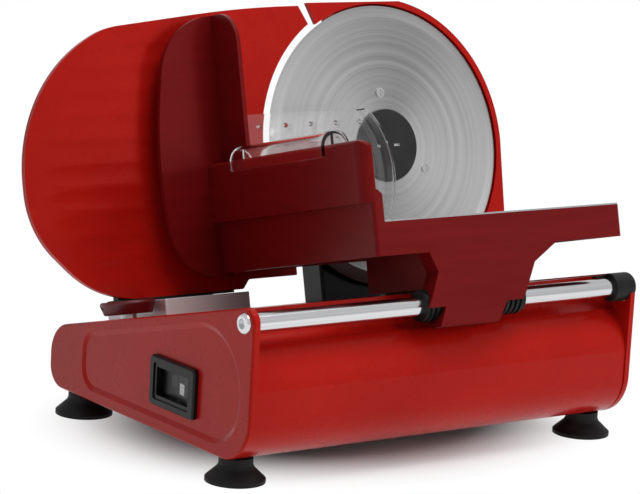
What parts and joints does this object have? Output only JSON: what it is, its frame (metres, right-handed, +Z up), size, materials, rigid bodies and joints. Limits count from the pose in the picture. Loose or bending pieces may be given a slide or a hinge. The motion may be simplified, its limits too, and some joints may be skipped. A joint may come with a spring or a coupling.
{
  "type": "electric food slicer",
  "caption": "Motor driven countertop food slicer with a round tilted blade, thickness fence, sliding carriage on a steel rod and a clear pusher.",
  "frame": {"origin": "on the table, under the middle of the whole slicer (the centre of its box, at the level of its feet)", "axes": "+X to the right along the slide rod, +Y from the front edge to the back, +Z up; the deck falls 14.5 degrees towards +Y"},
  "size_m": [0.3791, 0.2678, 0.2591],
  "materials": {
    "red_paint": "glossy",
    "wine_plastic": "glossy",
    "black_plastic": "satin",
    "gloss_black": "glossy",
    "rubber": "matt",
    "chrome": "polished",
    "blade_steel": "turned",
    "steel": "satin",
    "aluminium": "satin",
    "clear_plastic": "clear",
    "dial_plastic": "satin",
    "nylon": "satin",
    "brass": "satin",
    "motor_metal": "satin"
  },
  "bodies": {
    "base": {"base_wrap": "red_paint", "blade_guard": "red_paint", "block_screws": "steel", "bottom_plate": "black_plastic", "cord_gland": "black_plastic", "cover_screws": "steel", "dial_stud": "steel", "floor_screws": "steel", "foot_front_left": "rubber", "foot_front_right": "rubber", "foot_rear_left": "rubber", "foot_rear_right": "rubber", "foot_screws": "steel", "front_bush": "brass", "guard_back_plate": "black_plastic", "guide_block": "aluminium", "left_panel": "red_paint", "motor_bracket": "steel", "motor_can": "motor_metal", "motor_end_cap": "black_plastic", "rear_bush": "brass", "rear_cover": "black_plastic", "right_panel": "red_paint", "rocker_pin": "steel", "rod_button": "chrome", "rod_end_cap": "black_plastic", "slide_rod": "chrome", "switch_bezel": "gloss_black", "switch_body": "black_plastic", "terminal_block": "nylon", "tie_rods": "steel", "tower_foot": "gloss_black", "tower_screws": "steel", "worm_end_bearing": "brass"},
    "rocker": {"switch_rocker": "gloss_black"},
    "drive": {"motor_rotor": "steel", "worm": "steel"},
    "blade_set": {"blade": "blade_steel", "blade_rivets": "steel", "blade_hub": "steel", "blade_shaft": "steel", "worm_wheel": "nylon", "blade_knob": "gloss_black"},
    "fence": {"fence_plate": "red_paint", "fence_slider": "black_plastic", "fence_screws": "steel"},
    "dial": {"thickness_dial": "dial_plastic"},
    "carriage": {"carriage_frame": "wine_plastic", "tray_plate": "blade_steel", "slide_foot": "wine_plastic", "left_rod_bush": "black_plastic", "right_rod_bush": "black_plastic", "glide_shoe": "nylon", "carriage_screws": "steel"},
    "pusher_body": {"pusher": "clear_plastic"}
  },
  "joints": [
    {"name": "carriage_slide", "type": "slide", "parent": "base", "child": "carriage", "axis": [1, 0, 0], "range_m": [-0.113, 0.057]},
    {"name": "pusher_slide", "type": "slide", "parent": "carriage", "child": "pusher_body", "axis": [0, 0.9681, -0.2504], "range_m": [-0.09, 0.004]},
    {"name": "blade_spin", "type": "hinge", "parent": "base", "child": "blade_set", "pos_m": [0.0894, 0.07295, 0.16288], "axis": [0, 0.9681, -0.2504], "continuous": true},
    {"name": "motor_spin", "type": "hinge", "parent": "base", "child": "drive", "pos_m": [0.1329, 0.09034, 0.10829], "axis": [0, 0.2504, 0.9681], "continuous": true},
    {"name": "fence_slide", "type": "slide", "parent": "base", "child": "fence", "axis": [0, 0.9681, -0.2504], "range_m": [0, 0.013]},
    {"name": "dial_turn", "type": "hinge", "parent": "base", "child": "dial", "pos_m": [-0.1254, 0.04251, 0.07314], "axis": [0, 0.2504, 0.9681], "range_deg": [0, 301]},
    {"name": "rocker_tip", "type": "hinge", "parent": "base", "child": "rocker", "pos_m": [-0.1425, -0.047, 0.0464], "axis": [0, 0, 1], "range_deg": [0, 9]}
  ],
  "couplings": [
    {"joint": "motor_spin", "follows": "blade_spin", "ratio": 60},
    {"joint": "dial_turn", "follows": "fence_slide", "rad_per_m": 402.7}
  ]
}
